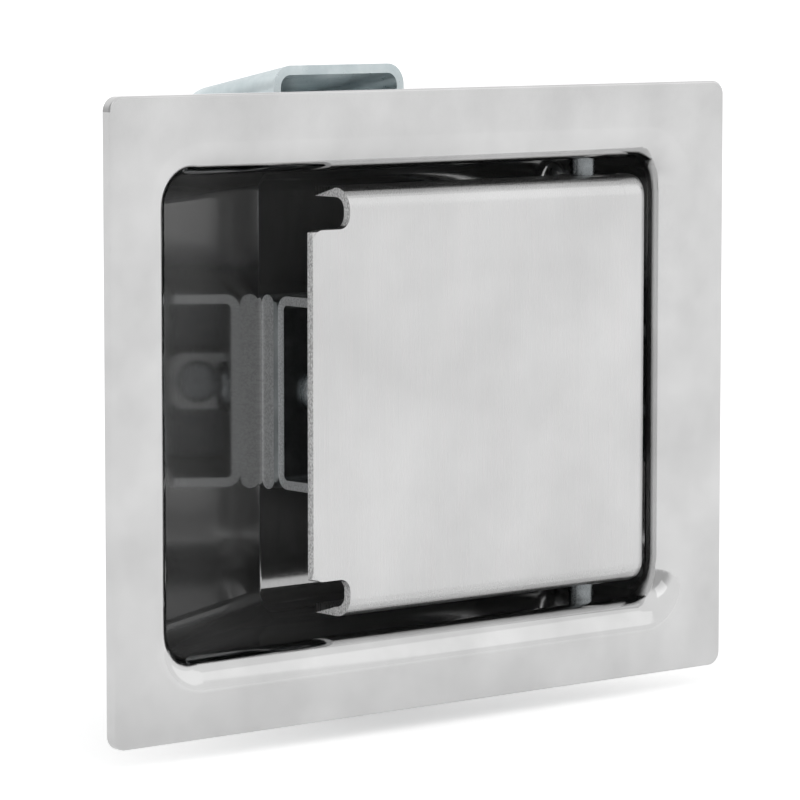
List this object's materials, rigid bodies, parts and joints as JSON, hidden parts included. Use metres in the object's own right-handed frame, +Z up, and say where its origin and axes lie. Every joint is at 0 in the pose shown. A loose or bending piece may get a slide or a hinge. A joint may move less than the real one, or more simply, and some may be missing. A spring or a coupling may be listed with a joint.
{
  "type": "flush paddle latch",
  "caption": "Flush paddle latch: recessed stainless pan, hinged pull paddle that retracts a spring bolt, and a rear clamp bracket on studs.",
  "frame": {"origin": "centre of the pan in the plane where its flange seats on the door (the rear face of the flange)", "axes": "+X to the right along the pan, the way the bolt points; +Y into the door; +Z up along the hinge pin"},
  "size_m": [0.1201, 0.053, 0.0914],
  "materials": {
    "brushed_stainless": "pressed stainless sheet, satin with a fine brushed grain on the paddle",
    "zinc_plated_steel": "pressed steel, bright zinc plated",
    "zinc_plated_fixings": "cold-headed steel, bright zinc plated",
    "spring_steel": "drawn spring wire",
    "sintered_steel": "sintered steel, tumbled and zinc plated"
  },
  "bodies": {
    "pan_body": {"pan": "brushed_stainless", "reinforcement_plate": "zinc_plated_steel", "bolt_housing": "zinc_plated_steel", "housing_rivet": "zinc_plated_fixings", "flush_rivet": "zinc_plated_fixings", "bolt_keeper": "zinc_plated_steel", "spring_guide_pin": "zinc_plated_fixings", "bolt_spring": "spring_steel", "hinge_pin": "zinc_plated_fixings", "pin_retaining_ring": "spring_steel", "paddle_spring": "spring_steel", "mounting_studs": "zinc_plated_fixings", "mounting_bracket": "zinc_plated_steel", "mounting_washers": "zinc_plated_fixings", "mounting_nuts": "zinc_plated_fixings"},
    "paddle_body": {"paddle": "brushed_stainless", "actuating_lever": "zinc_plated_steel"},
    "bolt_body": {"bolt": "sintered_steel"}
  },
  "joints": [
    {"name": "paddle_pull", "type": "hinge", "parent": "pan_body", "child": "paddle_body", "pos_m": [0.035, 0.0065, 0], "axis": [0, 0, 1], "range_deg": [0, 45], "stiffness_Nm_per_rad": 0.05, "springref_deg": -34.38, "deforming": ["paddle_spring"]},
    {"name": "bolt_slide", "type": "slide", "parent": "pan_body", "child": "bolt_body", "axis": [-1, 0, 0], "range_m": [0, 0.0076], "stiffness_N_per_m": 250, "springref_m": -0.012, "deforming": ["bolt_spring"]}
  ],
  "couplings": [
    {"joint": "bolt_slide", "follows": "paddle_pull", "m_per_rad": 0.009634}
  ]
}
